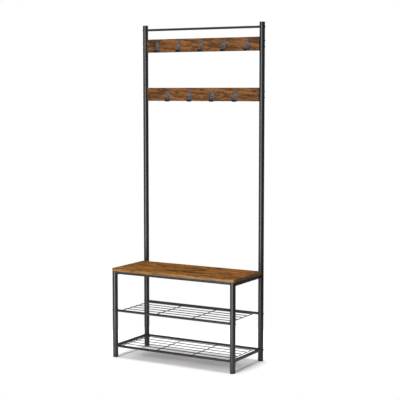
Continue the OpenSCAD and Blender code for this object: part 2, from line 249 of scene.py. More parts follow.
def wood(name, light, middle, dark, streak, seed, fineness=1.0, waver=0.55, band=False, wrap=False):
    """Rustic foil-faced board: long streaky grain, cathedral figure, dark cracks, pores and a few knots.

    fineness shrinks the figure, and waver is how far its grain strays sideways. An edge band has straight
    grain with no patches or knots, and with wrap its grain follows the band round the board's corners."""
    g = Graph(name)
    if wrap:
        apart = g.node("ShaderNodeSeparateXYZ")
        g.put(apart.inputs["Vector"], g.place)
        wound = g.node("ShaderNodeCombineXYZ")
        g.put(wound.inputs["X"], g.math("ADD", apart.outputs["X"], apart.outputs["Y"]))
        g.put(wound.inputs["Z"], apart.outputs["Z"])
        g.place = wound.outputs["Vector"]
    drift = (seed * 3.7, seed * 1.9, seed * 2.3)

    def grain(x, y):
        return g.stretch((x * fineness, y * fineness, y * fineness), drift)

    sway = g.noise(grain(3.5, 8), 1.6, 2)
    swayed = g.node("ShaderNodeVectorMath", operation="MULTIPLY_ADD")
    g.put(swayed.inputs[0], sway)
    swayed.inputs[1].default_value = (0.0, waver, waver)
    g.put(swayed.inputs[2], grain(1.0, 9.0))
    flow = swayed.outputs["Vector"]

    figure = g.node("ShaderNodeTexWave", bands_direction="DIAGONAL", wave_profile="SAW")
    g.put(figure.inputs["Vector"], flow)
    figure.inputs["Scale"].default_value = 1.5
    figure.inputs["Distortion"].default_value = 7.0
    figure.inputs["Detail"].default_value = 4.0
    figure.inputs["Detail Scale"].default_value = 1.1
    fibre = g.noise(flow, 16, 8, 0.72, 0.4)
    fine = g.noise(g.stretch((14, 320, 320), drift), 1.0, 5, 0.65)
    cloud = g.noise(grain(4.5, 13), 1.0, 6, 0.62, 1.1)

    tone = g.math("ADD", g.math("MULTIPLY", fibre, 0.62), g.math("MULTIPLY", figure.outputs["Fac"], 0.14))
    tone = g.math("ADD", tone, g.math("MULTIPLY", fine, 0.24))
    base = g.ramp(tone, [(0.40, dark), (0.47, middle), (0.55, light), (0.66, middle)])
    patch = g.ramp(cloud, [(0.38, 1), (0.52, 0)])
    base = g.mix(g.math("MULTIPLY", patch, 0.0 if band else 0.8), base, dark)

    crack_field = g.noise(grain(8, 120), 1.0, 6, 0.7, 0.9)
    crack = g.ramp(crack_field, [(0.55, 0), (0.59, 1), (0.64, 0)])
    crack = g.math("MULTIPLY", crack, g.ramp(cloud, [(0.44, 1), (0.60, 0.2)]))
    base = g.mix(g.math("MULTIPLY", crack, 0.25 if band else 0.85), base, streak)

    knot_field = g.node("ShaderNodeTexVoronoi", feature="F1")
    g.put(knot_field.inputs["Vector"], grain(3.1, 7.5))
    knot_field.inputs["Scale"].default_value = 1.0
    knot = g.ramp(knot_field.outputs["Distance"], [(0.05, 1), (0.15, 0)])
    base = g.mix(g.math("MULTIPLY", knot, 0.0 if band else 0.7), base, streak)

    pore_field = g.noise(g.stretch((55, 1500, 1500), drift), 1.0, 2)
    pore = g.ramp(pore_field, [(0.60, 0), (0.70, 1)])
    base = g.mix(g.math("MULTIPLY", pore, 0.35), base, streak)
    base = g.mix(g.math("MULTIPLY", worn_edges(g), 0.35), base, light)

    rough = g.ramp(fibre, [(0.3, 0.45 if band else 0.72), (0.7, 0.36 if band else 0.60)])
    groove = g.math("SUBTRACT", fine, g.math("ADD", pore, crack))
    return g.finish(base, rough, g.bump(groove, 0.00006, 0.5), specular=0.3 if band else 0.05)


def hook_enamel():
    """Blue-grey satin enamel on the plate and inside the bend, with painted shade: faces that point down are
    darkened to near black.
    """
    g = Graph("hook_enamel")
    base = g.ramp(g.noise(g.place, 35, 4), [(0.3, (0.058, 0.071, 0.087)), (0.7, (0.078, 0.093, 0.110))])
    # painted shade: faces pointing down, on the hook's underside, are mixed to near black, with a little
    # noise along the border
    facing = g.node("ShaderNodeSeparateXYZ")
    g.put(facing.inputs["Vector"], g.node("ShaderNodeTexCoord").outputs["Normal"])
    share = g.math("ADD", facing.outputs["Z"], g.math("MULTIPLY", g.noise(g.place, 120, 3), 0.12))
    under = g.ramp(g.math("MULTIPLY", share, -1.0), [(0.02, 0), (0.22, 1)])
    base = g.mix(under, base, (0.003, 0.003, 0.0035))
    base = g.mix(g.math("MULTIPLY", worn_edges(g), 0.4), base, (0.16, 0.17, 0.18))
    rolling = g.noise(g.stretch((900, 60, 60)), 1.0, 3)
    rough = g.ramp(g.noise(g.place, 90, 3), [(0.3, 0.34), (0.7, 0.44)])
    normal = g.bump(rolling, 0.000008, 0.5)
    normal = g.bump(g.noise(g.place, 700, 2), 0.000010, 0.6, normal)
    return g.finish(base, rough, normal, specular=0.14)


def blackened_steel():
    """Black-oxide screws and bolts: dark, slightly oily, brighter on edges."""
    g = Graph("black_fasteners")
    base = g.ramp(g.noise(g.place, 220, 3), [(0.3, (0.016, 0.016, 0.017)), (0.7, (0.034, 0.033, 0.032))])
    base = g.mix(g.math("MULTIPLY", worn_edges(g), 0.6), base, (0.20, 0.19, 0.18))
    rough = g.ramp(g.noise(g.place, 500, 3), [(0.3, 0.30), (0.7, 0.48)])
    return g.finish(base, rough, g.bump(g.noise(g.place, 1500, 2), 0.000008, 0.6), metallic=0.6)


def zinc_steel():
    """Bright zinc plating with a cloudy, slightly yellow film."""
    g = Graph("zinc_steel")
    base = g.ramp(g.noise(g.place, 90, 4), [(0.3, (0.50, 0.50, 0.49)), (0.7, (0.66, 0.65, 0.61))])
    rough = g.ramp(g.noise(g.place, 260, 4), [(0.3, 0.22), (0.7, 0.42)])
    return g.finish(base, rough, g.bump(g.noise(g.place, 900, 3), 0.00001, 0.5), metallic=1.0)


def moulded_plastic(name, low, high):
    """Black moulded plastic with a spark-eroded texture and dust in its low places."""
    g = Graph(name)
    base = g.ramp(g.noise(g.place, 50, 3), [(0.3, low), (0.7, high)])
    dust = g.ramp(g.noise(g.place, 300, 4, 0.7), [(0.58, 0), (0.75, 1)])
    base = g.mix(g.math("MULTIPLY", dust, 0.25), base, (0.11, 0.105, 0.10))
    rough = g.ramp(g.noise(g.place, 420, 3), [(0.3, 0.46), (0.7, 0.62)])
    return g.finish(base, rough, g.bump(g.noise(g.place, 1100, 3), 0.00003, 0.7))


COAT = powder_coat()
BENCH_WOOD = wood("bench_wood", (0.280, 0.118, 0.022), (0.160, 0.061, 0.010), (0.052, 0.019, 0.004),
                  (0.016, 0.007, 0.003), 1.0)
BENCH_EDGE = wood("bench_edge_band", (0.202, 0.113, 0.040), (0.147, 0.077, 0.025), (0.087, 0.043, 0.014),
                  (0.040, 0.020, 0.009), 2.0, band=True, wrap=True)
BOARD_WOOD = wood("board_wood", (0.212, 0.088, 0.027), (0.114, 0.045, 0.014), (0.038, 0.020, 0.011),
                  (0.015, 0.013, 0.010), 4.2, fineness=1.9, waver=0.28)
BOARD_EDGE = wood("board_edge_band", (0.15, 0.062, 0.020), (0.095, 0.036, 0.011), (0.048, 0.020, 0.007),
                  (0.018, 0.011, 0.007), 5.1, fineness=1.7, band=True)
HOOK = hook_enamel()
BLACK_STEEL = blackened_steel()
ZINC = zinc_steel()
CAP_PLASTIC = moulded_plastic("black_plastic", (0.014, 0.014, 0.015), (0.022, 0.022, 0.022))
FOOT_PLASTIC = moulded_plastic("foot_plastic", (0.020, 0.020, 0.020), (0.032, 0.032, 0.031))


# ---- tube frame ----

leg_low, leg_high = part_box("left_front_leg")
TUBE_R = (leg_high.x - leg_low.x) / 2
AX = -centre_of("left_front_leg").x
AY = centre_of("left_lower_post").y


TUBE_CHAMFER = 0.5 * MM
RAIL_CORNER = 1.6 * MM
RAIL_INNER_CORNER = 0.5 * MM
BEAD_R = 1.3 * MM
BEAD_SIDES = 8
BEAD_TOP_GAP = 2.2 * MM     # how far below a rail's top its bead starts, clear of the board
FLAT_MIN = 4 * MM           # shorter flats of an outline are left alone


def tube_profile(outer, bore, length, chamfer):
    """Closed profile of a tube with chamfered ends, as (radius, distance) pairs."""
    return [(bore, 0), (outer - chamfer, 0), (outer, chamfer), (outer, length - chamfer),
            (outer - chamfer, length), (bore, length)]


def upright(node):
    """A leg or post: a tube with small chamfers, so that the seam between two posts shows as a groove."""
    low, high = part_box(node)
    middle = (low + high) / 2
    bm = bmesh.new()
    profile = tube_profile(TUBE_R, TUBE_R - TUBE_WALL, high.z - low.z, TUBE_CHAMFER)
    lathe(bm, (middle.x, middle.y, low.z), profile, TUBE_SIDES, loop=True)
    piece(node + "_tube", bm, [COAT], [node])


def leg_surface(offset):
    """How far from a leg's axis its surface is, at a sideways offset from the axis."""
    return math.sqrt(max((TUBE_R + WELD_GAP) ** 2 - offset ** 2, 0))


def open_tube_rings(radius):
    """Rings of an open tube, as (radius, side, distance in from the end), with a loop near each end."""
    bore = radius - TUBE_WALL
    return [(bore, -1, 0), (radius, -1, 0), (radius, -1, END_LOOP), (radius, 1, END_LOOP), (radius, 1, 0),
            (bore, 1, 0)]


def cross_rod(node):
    """A round tube along X, with both ends coped to the legs or posts."""
    low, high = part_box(node)
    middle = (low + high) / 2
    radius = (high.z - low.z) / 2
    rings = []
    for r, side, inset in open_tube_rings(radius):
        ring = []
        for p in ring_points((0, 0, 0), r, ROD_SIDES, "X"):
            x = side * (AX - leg_surface(p.y) - inset)
            ring.append(Vector((x, middle.y + p.y, middle.z + p.z)))
        rings.append(ring)
    bm = bmesh.new()
    loft(bm, rings, loop=True)
    piece(node + "_tube", bm, [COAT], [node])


def weld_bead(bm, path, out, radius, closed):
    """A rippled fillet of weld metal along a path. out is the direction away from the joint at each point."""
    rings = []
    count = len(path)
    for i, centre in enumerate(path):
        before = path[(i - 1) % count] if closed or i else path[0]
        after = path[(i + 1) % count] if closed or i < count - 1 else path[-1]
        along = (after - before).normalized()
        side = out[i].normalized()
        third = along.cross(side).normalized()
        swell = radius * (1 + 0.16 * math.sin(i * 1.9) + 0.07 * math.sin(i * 0.71 + 1))
        if not closed:
            swell *= min(1.0, 0.35 + 0.3 * min(i, count - 1 - i))
        rings.append([centre + swell * (math.cos(t) * side + math.sin(t) * third)
                      for t in (2 * math.pi * k / BEAD_SIDES for k in range(BEAD_SIDES))])
    loft(bm, rings, loop=closed)


def split_flats(outline):
    """Adds two points to each long flat of an outline, so that edge wear stays on the corners."""
    points = []
    for here, there in zip(outline, outline[1:] + outline[:1]):
        a = Vector(here)
        b = Vector(there)
        points.append(tuple(a))
        length = (b - a).length
        if length > FLAT_MIN:
            step = (b - a) / length * MM
            points.append(tuple(a + step))
            points.append(tuple(b - step))
    return points


def box_rail(node, along, ends):
    """A rectangular tube with round corners. ends is "legs" if it is coped to two legs, or "flat"."""
    low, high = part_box(node)
    middle = (low + high) / 2
    across = (high.x - low.x) if along == "Y" else (high.y - low.y)
    tall = high.z - low.z
    half = (high.y - low.y) / 2 if along == "Y" else (high.x - low.x) / 2
    outline = split_flats(rounded_rectangle(across, tall, RAIL_CORNER, 4))
    inner = split_flats(rounded_rectangle(across - 2 * TUBE_WALL, tall - 2 * TUBE_WALL, RAIL_INNER_CORNER, 4))

    def point(a, b, side, inset=0.0):
        reach = ((AY if along == "Y" else AX) - leg_surface(a) if ends == "legs" else half) - inset
        if along == "Y":
            return Vector((middle.x + a, side * reach, middle.z + b))
        return Vector((side * reach, middle.y + a, middle.z + b))

    bm = bmesh.new()
    order = ((inner, -1, 0), (outline, -1, 0), (outline, -1, END_LOOP),
             (outline, 1, END_LOOP), (outline, 1, 0), (inner, 1, 0))
    loft(bm, [[point(a, b, side, inset) for a, b in shape] for shape, side, inset in order], loop=True)
    under = tall / 2 - BEAD_TOP_GAP
    drop = (under + tall / 2) / 12
    for side in (-1, 1):
        walk = [(-across / 2, under - i * drop) for i in range(12)]
        walk += [(-across / 2 + i * across / 10, -tall / 2) for i in range(11)]
        walk += [(across / 2, -tall / 2 + (i + 1) * drop) for i in range(12)]
        path = [point(a, b, side) for a, b in walk]
        out = [Vector((a, 0, b)) if along == "Y" else Vector((0, a, b)) for a, b in walk]
        weld_bead(bm, path, out, BEAD_R, False)
    piece(node + "_tube", bm, [COAT], [node])


def side_tube(node):
    """The round tube near the floor between a front leg and a post, coped and welded all round."""
    low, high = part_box(node)
    middle = (low + high) / 2
    radius = (high.z - low.z) / 2
    bm = bmesh.new()
    rings = []
    for r, side, inset in open_tube_rings(radius):
        rings.append([Vector((middle.x + p.x, side * (AY - leg_surface(p.x) - inset), middle.z + p.z))
                      for p in ring_points((0, 0, 0), r, ROD_SIDES, "Y")])
    loft(bm, rings, loop=True)
    for side in (-1, 1):
        points = ring_points((0, 0, 0), radius + 0.2 * MM, 60, "Y")
        path = [Vector((middle.x + p.x, side * (AY - leg_surface(p.x)), middle.z + p.z)) for p in points]
        weld_bead(bm, path, points, BEAD_R, True)
    piece(node + "_tube", bm, [COAT], [node])


for name in ("left_front_leg", "right_front_leg", "left_lower_post", "right_lower_post",
             "left_upper_post", "right_upper_post"):
    upright(name)
for name in ("middle_shelf_front_rod", "middle_shelf_back_rod", "bottom_shelf_front_rod",
             "bottom_shelf_back_rod", "top_rod"):
    cross_rod(name)
for name in ("left_side_rail", "right_side_rail"):
    box_rail(name, "Y", "legs")
box_rail("front_bench_rail", "X", "legs")
box_rail("back_bench_rail", "X", "flat")
side_tube("left_bottom_side_tube")
side_tube("right_bottom_side_tube")


# ---- wire shelves ----

WIRE_D = 4 * MM
LONG_WIRES = 5
CROSS_WIRES = 4
WIRE_BITE = 0.6 * MM        # how far a cross wire's end reaches past the rod's surface
FLARE_START = 0.2 * MM
FLARE = ((1.75, 0), (1.6, 0.5), (1.25, 1.3), (1.02, 2.4))   # weld at a wire's end: radii, mm along the wire
NUGGET_R = 2.1 * MM
NUGGET_TALL = 1.5 * MM
NUGGET_SIDES = 14


def domed_wire(bm, start, end, radius, axis):
    """A straight wire with round ends."""
    length = (end - start).length
    profile = [(radius * math.sin(math.radians(a)), radius * (1 - math.cos(math.radians(a))))
               for a in (12, 35, 60, 90)]
    profile += [(r, length - z) for r, z in reversed(profile)]
    lathe(bm, start, profile, WIRE_SIDES, axis)


def nugget(bm, centre):
    """The squashed bead of a spot weld where a wire along X crosses one along Y."""
    rings = []
    for a in (-80, -50, -20, 20, 50, 80):
        turn = math.radians(a)
        reach = NUGGET_R * math.cos(turn)
        ring = []
        for k in range(NUGGET_SIDES):
            t = 2 * math.pi * k / NUGGET_SIDES
            stretch = 1.0 + 0.28 * abs(math.cos(t))
            ring.append(Vector(centre) + Vector((reach * stretch * math.cos(t), reach * stretch * math.sin(t),
                                                 NUGGET_TALL * math.sin(turn))))
        rings.append(ring)
    loft(bm, rings)


def wire_shelf(node):
    """Five long wires spot-welded on top of four cross wires, whose ends are welded to the shelf's rods."""
    low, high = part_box(node)
    radius = WIRE_D / 2
    cross_z = low.z + radius
    long_z = high.z - radius
    rod_low, rod_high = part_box(node.replace("_wire_shelf", "_shelf_front_rod"))
    rod_r = (rod_high.z - rod_low.z) / 2
    reach = AY - rod_r + WIRE_BITE
    flare = [(radius * share, along * MM) for share, along in FLARE]
    span = high.x - low.x - WIRE_D
    cross_x = [-span / 2 + i * span / (CROSS_WIRES - 1) for i in range(CROSS_WIRES)]
    long_y = [-AY + (i + 1) * 2 * AY / (LONG_WIRES + 1) for i in range(LONG_WIRES)]
    bm = bmesh.new()
    for x in cross_x:
        domed_wire(bm, Vector((x, -reach, cross_z)), Vector((x, reach, cross_z)), radius, "Y")
        for side in (-1, 1):
            lathe(bm, (x, side * (reach - FLARE_START), cross_z), flare, WIRE_SIDES, "Y", -side)
    for y in long_y:
        domed_wire(bm, Vector((low.x, y, long_z)), Vector((high.x, y, long_z)), radius, "X")
        for x in cross_x:
            nugget(bm, (x, y, (cross_z + long_z) / 2))
    piece(node + "_grid", bm, [COAT], [node])


wire_shelf("middle_wire_shelf")
wire_shelf("bottom_wire_shelf")


# ---- boards ----

BOARD_EASE = 0.9 * MM
BAND_JOINT = 1.45 * MM      # depth of the joint between the edge band and a face
BAND_JOINT_HALF = 0.1 * MM
BAND_JOINT_DEEP = 0.16 * MM
LEAST_CORNER = 0.3 * MM

def eased_board(node, corner, plane, materials, steps):
    """A foil-faced board with eased edges and a fine joint where the edge band meets the faces.

    plane is the axis across the board's thickness; the outline lies in the other two axes."""
    low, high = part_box(node)
    middle = (low + high) / 2
    size = high - low
    u, v, w = {"Z": (0, 1, 2), "Y": (0, 2, 1)}[plane]
    half = size[w] / 2
    layers = []
    for a in (0, 30, 60, 90):
        turn = math.radians(a)
        layers.append((BOARD_EASE * (1 - math.sin(turn)), half - BOARD_EASE + BOARD_EASE * math.cos(turn)))
    layers.append((0.0, half - BAND_JOINT + BAND_JOINT_HALF))
    layers.append((BAND_JOINT_DEEP, half - BAND_JOINT))
    layers.append((0.0, half - BAND_JOINT - BAND_JOINT_HALF))
    layers += [(inset, -depth) for inset, depth in reversed(layers)]
    bm = bmesh.new()
    rings = []
    for inset, depth in layers:
        round_r = max(corner - inset, LEAST_CORNER)
        ring = []
        for a, b in rounded_rectangle(size[u] - 2 * inset, size[v] - 2 * inset, round_r, steps):
            p = Vector((0, 0, 0))
            p[u] = middle[u] + a
            p[v] = middle[v] + b
            p[w] = middle[w] + depth
            ring.append(p)
        rings.append(ring)
    loft(bm, rings)
    band = half - BAND_JOINT + 1.5 * BAND_JOINT_HALF
    for face in bm.faces:
        face.material_index = 1 if abs(face.calc_center_median()[w] - middle[w]) < band else 0
    piece(node + "_panel", bm, materials, [node], smooth=math.radians(50))


eased_board("bench_board", 12 * MM, "Z", [BENCH_WOOD, BENCH_EDGE], 12)
for name in ("upper_hook_board", "lower_hook_board"):
    eased_board(name, 1 * MM, "Y", [BOARD_WOOD, BOARD_EDGE], 3)


# ---- hooks ----

HOOK_T = 3 * MM
HOOK_BEND = 8 * MM
HOOK_FLAT = 5 * MM
LIP_BEND = 10.5 * MM
LIP_LENGTH = 6 * MM
LIP_ANGLE = 60
LIP_CORNER = 5 * MM
STRIP_EDGE = 0.9 * MM       # radius of the strip's long edges
HOOK_EASE = 0.8 * MM        # rounding of the strip's two ends
HOOK_MIN_HALF = 0.7 * MM    # half the width of the first and last ring
HOOK_SCREWS = (27 * MM, 49 * MM)
PLATE_STATIONS = (0, 0.15, 0.45, 1.0, 1.8, 2.9, 4.2, 5.6, 7.2, 9.0, 12, 18, 26, 34)   # mm down from its top
LIP_STATIONS = (1.0, 1.8, 2.6, 3.4, 4.1, 4.8, 5.3, 5.7, 5.9, 6.0)                     # mm along the lip


def hook_path(height):
    """Middle line of the bent strip, from the plate's top to the lip's end, and its whole length.

    Each station is (front, up, tangent angle, distance along the strip)."""
    half = HOOK_T / 2
    first = HOOK_T + HOOK_BEND
    stations = []
    for z in [height - k * MM for k in PLATE_STATIONS if height - k * MM > first] + [first]:
        stations.append((half, z, -90.0, height - z))
    done = height - first
    for i in range(1, 11):
        turn = math.radians(180 + 9 * i)
        r = HOOK_BEND + half
        stations.append((first + r * math.cos(turn), first + r * math.sin(turn), -90 + 9.0 * i,
                         done + r * math.radians(9 * i)))
    done += (HOOK_BEND + half) * math.pi / 2 + HOOK_FLAT
    second = (first + HOOK_FLAT, HOOK_T + LIP_BEND)
    for i in range(0, 9):
        angle = LIP_ANGLE * i / 8
        r = LIP_BEND + half
        turn = math.radians(270 + angle)
        stations.append((second[0] + r * math.cos(turn), second[1] + r * math.sin(turn), angle,
                         done + r * math.radians(angle)))
    done += (LIP_BEND + half) * math.radians(LIP_ANGLE)
    front, up = stations[-1][0], stations[-1][1]
    lean = math.radians(LIP_ANGLE)
    for k in LIP_STATIONS:
        s = k * MM
        stations.append((front + s * math.cos(lean), up + s * math.sin(lean), LIP_ANGLE, done + s))
    return stations, done + LIP_LENGTH


def strip_section(half_width, half_thick):
    """Outline across the strip, with rounded long edges, as (sideways, through) pairs."""
    edge = min(STRIP_EDGE, half_thick * 0.9, half_width * 0.9)
    return rounded_rectangle(2 * half_width, 2 * half_thick, edge, 3)


def hook(node):
    """One hook: bent strip with a round-topped plate, a round throat and a lip with rounded corners."""
    low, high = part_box(node)
    x0 = (low.x + high.x) / 2
    half_w = (high.x - low.x) / 2
    stations, total = hook_path(high.z - low.z)
    bm = bmesh.new()
    rings = []
    for front, up, angle, s in stations:
        half = half_w
        if s < half_w:
            half = math.sqrt(max(half_w ** 2 - (half_w - s) ** 2, 0))
        left = total - s
        if left < LIP_CORNER:
            half = half_w - LIP_CORNER + math.sqrt(max(LIP_CORNER ** 2 - (LIP_CORNER - left) ** 2, 0))
        half = max(half, HOOK_MIN_HALF)
        thick = HOOK_T / 2
        near = min(s, left)
        if near < HOOK_EASE:
            thick = thick - HOOK_EASE + math.sqrt(max(HOOK_EASE ** 2 - (HOOK_EASE - near) ** 2, 0))
        turn = math.radians(angle)
        normal = (-math.sin(turn), math.cos(turn))
        rings.append([Vector((x0 + a, high.y - (front + b * normal[0]), low.z + up + b * normal[1]))
                      for a, b in strip_section(half, thick)])
    loft(bm, rings)
    piece(node + "_strip", bm, [HOOK], [node], smooth=math.radians(45))


UPPER_HOOKS = [f"upper_hook_{i}" for i in range(1, 6)]
LOWER_HOOKS = [f"lower_hook_{i}" for i in range(1, 5)]
for name in UPPER_HOOKS + LOWER_HOOKS:
    hook(name)


# ---- screws and bolts ----

AXES = {"+X": ((1, 0, 0), (0, 1, 0), (0, 0, 1)), "-X": ((-1, 0, 0), (0, -1, 0), (0, 0, 1)),
        "-Y": ((0, -1, 0), (1, 0, 0), (0, 0, 1)), "-Z": ((0, 0, -1), (1, 0, 0), (0, -1, 0))}


SCREW_HEAD_TALL = 2.4 * MM
HOOK_SCREW_D = 7.5 * MM
FRAME_SCREW_D = 9 * MM
SCREW_SIDES = 32
SCREW_RINGS = 18
SEAT_SINK = 0.02 * MM       # how far a head reaches into the surface under it
RECESS_LONG = 0.52          # a cross recess's arm length and half width, as shares of the head's radius
RECESS_WIDE = 0.15
SOCKET_CHAMFER = 0.35 * MM
SOCKET_LIP = 0.25 * MM


def placed(origin, facing, a, b, out):
    """A point given by two sideways distances and a distance out of the surface."""
    normal, first, second = (Vector(v) for v in AXES[facing])
    return Vector(origin) + first * a + second * b + normal * out


def screw_head(bm, origin, facing, diameter, turn):
    """A domed wood-screw head with a cross recess, as one smooth skin over its seat."""
    radius = diameter / 2
    tall = SCREW_HEAD_TALL
    dome_r = (radius ** 2 + tall ** 2) / (2 * tall)
    ca = math.cos(turn)
    sa = math.sin(turn)
    rings = []
    for k in range(SCREW_RINGS):
        r = radius * (1 - k / (SCREW_RINGS - 0.4))
        ring = []
        for i in range(SCREW_SIDES):
            t = 2 * math.pi * i / SCREW_SIDES
            a = r * math.cos(t)
            b = r * math.sin(t)
            u = abs(a * ca + b * sa)
            v = abs(b * ca - a * sa)
            height = tall - dome_r + math.sqrt(max(dome_r ** 2 - r ** 2, 0))
            first_arm = max(u / (radius * RECESS_LONG), v / (radius * RECESS_WIDE))
            second_arm = max(v / (radius * RECESS_LONG), u / (radius * RECESS_WIDE))
            sink = min(max((1.25 - min(first_arm, second_arm)) / 0.5, 0), 1)
            height -= sink * sink * (3 - 2 * sink) * tall * 0.5
            ring.append(placed(origin, facing, a, b, height))
        rings.append(ring)
    skirt = []
    turns = [2 * math.pi * i / SCREW_SIDES for i in range(SCREW_SIDES)]
    for r in (radius * 0.55, radius * 0.99):
        skirt.append([placed(origin, facing, r * math.cos(t), r * math.sin(t), -SEAT_SINK) for t in turns])
    loft(bm, skirt + rings)


def hex_ring(origin, facing, across, depth, blend, radius):
    """Points between a circle (blend 0) and a hexagon (blend 1) at one height."""
    ring = []
    for i in range(HEX_RING_POINTS):
        t = 2 * math.pi * i / HEX_RING_POINTS
        local = (t % (math.pi / 3)) - math.pi / 6
        flat = (across / 2) / math.cos(local)
        r = radius * (1 - blend) + flat * blend
        ring.append(placed(origin, facing, r * math.cos(t), r * math.sin(t), depth))
    return ring


def bolt_head(bm, origin, facing, diameter, tall, across):
    """A domed bolt head with a hex socket."""
    radius = diameter / 2
    dome_r = (radius ** 2 + tall ** 2) / (2 * tall)

    def dome(r):
        return tall - dome_r + math.sqrt(max(dome_r ** 2 - r ** 2, 0))

    rings = [hex_ring(origin, facing, across, -SEAT_SINK, 0, radius * 0.6),
             hex_ring(origin, facing, across, -SEAT_SINK, 0, radius * 0.985)]
    for s in (1.0, 0.97, 0.9, 0.8, 0.7, 0.6):
        rings.append(hex_ring(origin, facing, across, dome(radius * s) + 0.01 * MM, 0, radius * s))
    rim = across * 0.64
    top = dome(rim)
    rings.append(hex_ring(origin, facing, across, top, 0, rim))
    rings.append(hex_ring(origin, facing, across + SOCKET_CHAMFER, top - 0.02 * MM, 1, rim))
    rings.append(hex_ring(origin, facing, across, top - SOCKET_LIP, 1, rim))
    floor_depth = tall / 3
    rings.append(hex_ring(origin, facing, across, floor_depth + 0.1 * MM, 1, rim))
    rings.append(hex_ring(origin, facing, across * 0.85, floor_depth, 1, rim))
    rings.append(hex_ring(origin, facing, across * 0.3, floor_depth - SOCKET_LIP, 1, rim))
    loft(bm, rings)


def hook_screws(node, hooks):
    """The heads of the two screws in each hook's plate, each turned a little differently."""
    bm = bmesh.new()
    for k, name in enumerate(hooks):
        low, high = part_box(name)
        for j, up in enumerate(HOOK_SCREWS):
            seat = ((low.x + high.x) / 2, high.y - HOOK_T, low.z + up)
            screw_head(bm, seat, "-Y", HOOK_SCREW_D, 0.4 + 1.13 * k + 0.7 * j)
    piece(node + "_heads", bm, [BLACK_STEEL], [node])


hook_screws("upper_hook_screws", UPPER_HOOKS)
hook_screws("lower_hook_screws", LOWER_HOOKS)

BOLT_HEAD_D = 11 * MM
HEX_ACROSS = 4 * MM
BOARD_BOLT_OFFSET = 15 * MM


def end_bolts(node, places):
    """Bolt heads on the outer faces of the legs or posts, one at each end of every place."""
    low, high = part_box(node)
    bm = bmesh.new()
    for y, z in places:
        for side, facing in ((-1, "-X"), (1, "+X")):
            origin = (side * (AX + TUBE_R), y, z)
            bolt_head(bm, origin, facing, BOLT_HEAD_D, high.x - AX - TUBE_R, HEX_ACROSS)
    piece(node + "_heads", bm, [BLACK_STEEL], [node])


shelf_rods = [centre_of(f"{shelf}_shelf_{side}_rod")
              for shelf in ("middle", "bottom") for side in ("front", "back")]
top_rod = centre_of("top_rod")
end_bolts("shelf_rod_bolts", [(c.y, c.z) for c in shelf_rods])
end_bolts("top_rod_bolts", [(top_rod.y, top_rod.z)])
boards = [centre_of("upper_hook_board"), centre_of("lower_hook_board")]
end_bolts("hook_board_bolts", [(AY, c.z + s * BOARD_BOLT_OFFSET) for c in boards for s in (-1, 1)])

FRAME_SCREW_X = 290 * MM
SIDE_SCREW_Y = 80 * MM


def frame_screws(node, places, under):
    """Screw heads on the underside of the rails, at the given height."""
    bm = bmesh.new()
    for k, (x, y) in enumerate(places):
        screw_head(bm, (x, y, under), "-Z", FRAME_SCREW_D, 0.3 + 0.9 * k)
    piece(node + "_heads", bm, [BLACK_STEEL], [node])


front_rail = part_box("front_bench_rail")
back_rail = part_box("back_bench_rail")
rail_ys = [(low.y + high.y) / 2 for low, high in (front_rail, back_rail)]
cross_rail_places = [(sx * FRAME_SCREW_X, y) for sx in (-1, 1) for y in rail_ys]
side_rail_places = [(sx * AX, sy * SIDE_SCREW_Y) for sx in (-1, 1) for sy in (-1, 1)]
frame_screws("bench_rail_screws", cross_rail_places, front_rail[0].z)
frame_screws("side_rail_screws", side_rail_places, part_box("left_side_rail")[0].z)


# ---- caps and feet ----

CAP_RIM = 3 * MM
CAP_ROUND = 1.2 * MM
PLUG_FLANGE = 2 * MM
PLUG_BORE_R = 4.08 * MM


def post_cap(node):
    """A moulded end cap: rounded rim, slightly crowned top, a small gate mark and a plug with a lead-in."""
    low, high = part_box(node)
    middle = (low + high) / 2
    base = high.z - CAP_RIM
    plug_r = TUBE_R - TUBE_WALL - PLUG_FIT
    profile = [(plug_r - 1.4 * MM, low.z - base), (plug_r - 0.4 * MM, low.z - base),
               (plug_r, low.z - base + 1 * MM), (plug_r, 0), (TUBE_R - 0.25 * MM, 0), (TUBE_R, 0.25 * MM)]
    for a in (0, 25, 50, 75, 90):
        t = math.radians(a)
        profile.append((TUBE_R - CAP_ROUND + CAP_ROUND * math.cos(t),
                        CAP_RIM - CAP_ROUND + CAP_ROUND * math.sin(t) - 0.12 * MM))
    profile += [(9 * MM, CAP_RIM - 0.03 * MM), (4 * MM, CAP_RIM), (2.2 * MM, CAP_RIM),
                (1.9 * MM, CAP_RIM - 0.25 * MM), (1.0 * MM, CAP_RIM - 0.3 * MM)]
    bm = bmesh.new()
    lathe(bm, (middle.x, middle.y, base), profile, PLUG_SIDES)
    piece(node + "_moulding", bm, [CAP_PLASTIC], [node])


for name in ("left_post_cap", "right_post_cap"):
    post_cap(name)

STUD_CORE = 3.35 * MM
STUD_PITCH = 1.25 * MM
STUD_SIDES = 24
STUD_TAPER = 1.5 * MM
PAD_SIDES = 96
PAD_EASE = 1.5 * MM
NOTCH_DEEP = 0.35 * MM
NOTCH_STEP = 8              # pad points from one grip notch to the next


def leg_plug(node):
    """The moulded plug in a leg's bottom end: a thin rounded flange and a plain bore for the stud."""
    low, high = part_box(node)
    middle = (low + high) / 2
    plug_r = TUBE_R - TUBE_WALL - PLUG_FIT
    tall = high.z - low.z
    profile = [(PLUG_BORE_R, 0.4 * MM), (PLUG_BORE_R + 0.4 * MM, 0), (TUBE_R - 1.1 * MM, 0),
               (TUBE_R - 0.55 * MM, 0.16 * MM), (TUBE_R - 0.15 * MM, 0.55 * MM), (TUBE_R, 1.0 * MM),
               (TUBE_R, PLUG_FLANGE - 0.25 * MM), (TUBE_R - 0.25 * MM, PLUG_FLANGE), (plug_r, PLUG_FLANGE),
               (plug_r, tall - 1 * MM), (plug_r - 0.6 * MM, tall), (PLUG_BORE_R, tall)]
    bm = bmesh.new()
    lathe(bm, (middle.x, middle.y, low.z), profile, PLUG_SIDES, loop=True)
    piece(node + "_moulding", bm, [CAP_PLASTIC], [node])


